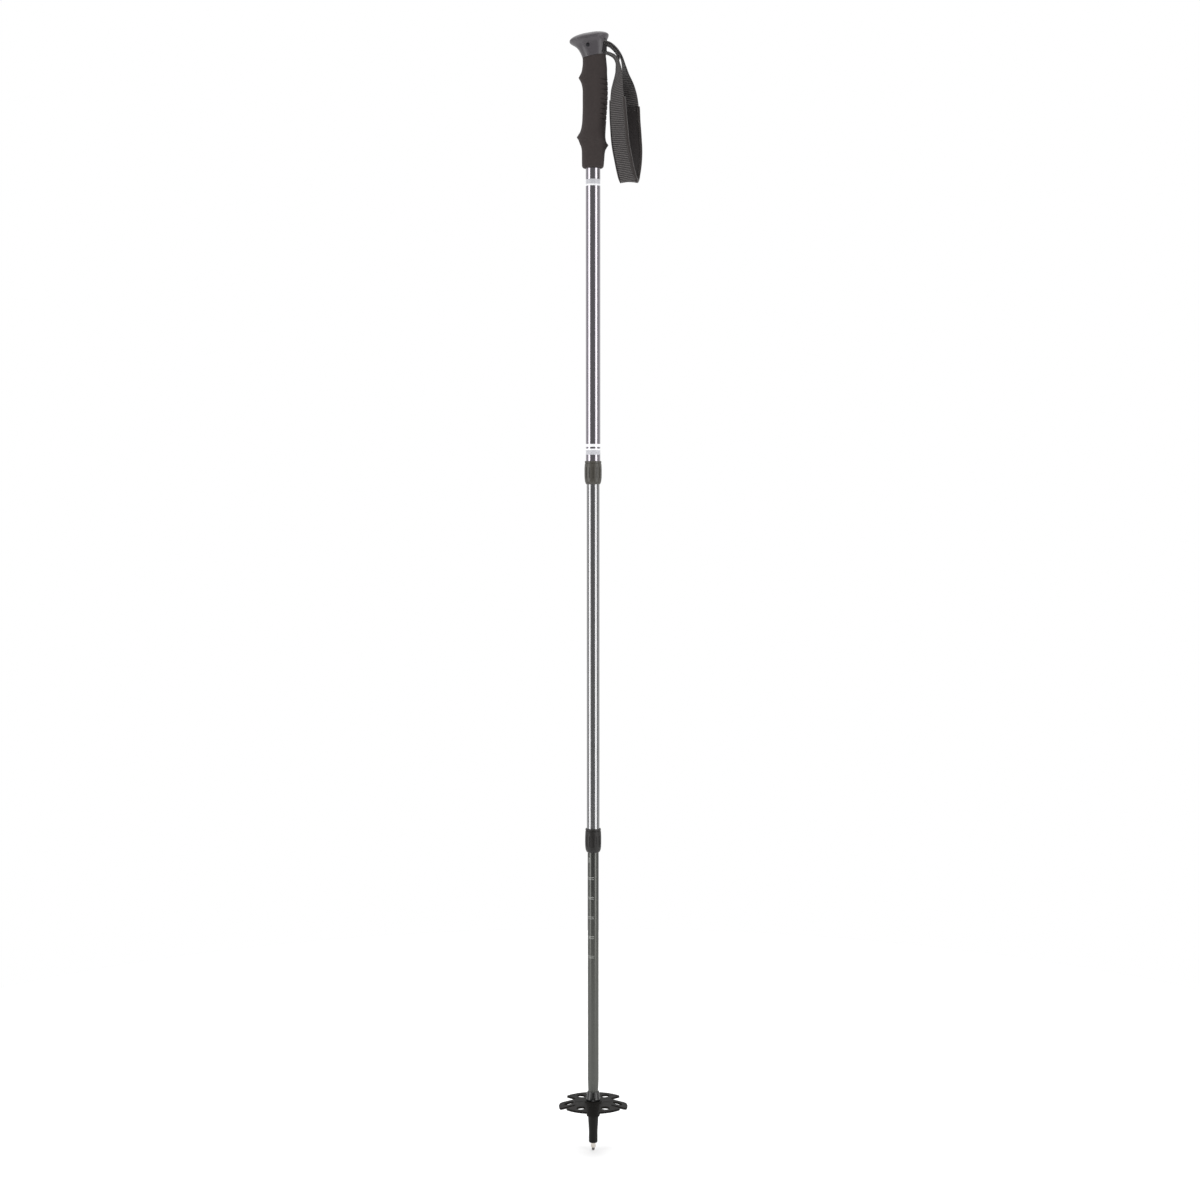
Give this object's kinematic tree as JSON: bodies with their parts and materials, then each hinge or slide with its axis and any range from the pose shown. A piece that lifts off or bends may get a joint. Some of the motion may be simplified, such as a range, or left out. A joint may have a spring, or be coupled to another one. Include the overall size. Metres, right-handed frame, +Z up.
{
  "type": "ski pole",
  "caption": "Telescopic ski pole: foam hand grip with a hard duck-bill head and wrist strap, tubes held by twist locks, snow basket and carbide tip.",
  "frame": {"origin": "the ground contact of the carbide tip, on the pole's axis", "axes": "+Z up along the pole towards the grip, +X to the back of the grip where the strap leaves, -X to the finger rests"},
  "size_m": [0.105, 0.0856, 1.3998],
  "materials": {
    "upper_tube_anodised": "gloss grey anodised, with pale bands",
    "middle_tube_anodised": "gloss grey anodised",
    "lower_tube_satin": "satin grey, with a length scale",
    "grip_foam": "charcoal-brown closed-cell foam",
    "cap_plastic": "dark grey, fine moulded grain",
    "collar_plastic": "dark warm grey, satin",
    "webbing": "dark ribbed woven webbing",
    "lining": "soft dark brushed lining",
    "pin_steel": "dark",
    "wedge_plastic": "dark grey",
    "lock_plastic": "natural nylon",
    "lock_steel": "zinc plated",
    "tip_plastic": "black, satin",
    "ferrule_steel": "nickel plated",
    "carbide": "dark ground carbide",
    "basket_plastic": "black-brown, satin",
    "stop_collar_plastic": "black, gloss"
  },
  "bodies": {
    "upper_section": {"upper_tube": "upper_tube_anodised", "upper_collar": "collar_plastic", "grip_foam": "grip_foam", "grip_cap": "cap_plastic", "strap_pin": "pin_steel", "strap_inner_loop": "webbing"},
    "strap_wedge": {"strap_wedge": "wedge_plastic"},
    "strap": {"strap_webbing": "webbing", "strap_lining": "lining", "strap_tail": "webbing"},
    "middle_expander": {"middle_expander": "lock_plastic"},
    "middle_cone": {"middle_cone": "lock_plastic"},
    "middle_section": {"middle_tube": "middle_tube_anodised", "middle_end_plug": "lock_plastic", "middle_spindle": "lock_steel", "middle_stop_nut": "lock_steel", "lower_collar": "collar_plastic"},
    "lower_expander": {"lower_expander": "lock_plastic"},
    "lower_cone": {"lower_cone": "lock_plastic"},
    "lower_section": {"lower_tube": "lower_tube_satin", "lower_end_plug": "lock_plastic", "lower_spindle": "lock_steel", "lower_stop_nut": "lock_steel", "tip_sleeve": "tip_plastic", "tip_ferrule": "ferrule_steel", "carbide_tip": "carbide", "basket_stop_collar": "stop_collar_plastic"},
    "basket": {"basket": "basket_plastic"}
  },
  "joints": [
    {"name": "strap_swing", "type": "hinge", "parent": "upper_section", "child": "strap", "pos_m": [0.02, 0, 1.387], "axis": [0, -1, 0], "range_deg": [0, 85]},
    {"name": "wedge_release", "type": "slide", "parent": "upper_section", "child": "strap_wedge", "axis": [1, 0, 0], "range_m": [0, 0.003]},
    {"name": "middle_slide", "type": "slide", "parent": "upper_section", "child": "middle_expander", "axis": [0, 0, 1], "range_m": [0, 0.415]},
    {"name": "middle_twist", "type": "hinge", "parent": "middle_expander", "child": "middle_section", "pos_m": [0, 0, 0.895], "axis": [0, 0, -1], "range_deg": [0, 360]},
    {"name": "middle_cone_travel", "type": "slide", "parent": "middle_expander", "child": "middle_cone", "axis": [0, 0, 1], "range_m": [0, 0.0015]},
    {"name": "lower_slide", "type": "slide", "parent": "middle_section", "child": "lower_expander", "axis": [0, 0, 1], "range_m": [0, 0.3]},
    {"name": "lower_twist", "type": "hinge", "parent": "lower_expander", "child": "lower_section", "pos_m": [0, 0, 0.432], "axis": [0, 0, -1], "range_deg": [0, 360]},
    {"name": "lower_cone_travel", "type": "slide", "parent": "lower_expander", "child": "lower_cone", "axis": [0, 0, 1], "range_m": [0, 0.0015]},
    {"name": "basket_lock", "type": "hinge", "parent": "lower_section", "child": "basket", "pos_m": [0, 0, 0.062], "axis": [0, 0, 1], "range_deg": [0, 90]}
  ],
  "couplings": [
    {"joint": "middle_cone_travel", "follows": "middle_twist", "m_per_rad": 0.00023873},
    {"joint": "lower_cone_travel", "follows": "lower_twist", "m_per_rad": 0.00023873}
  ]
}
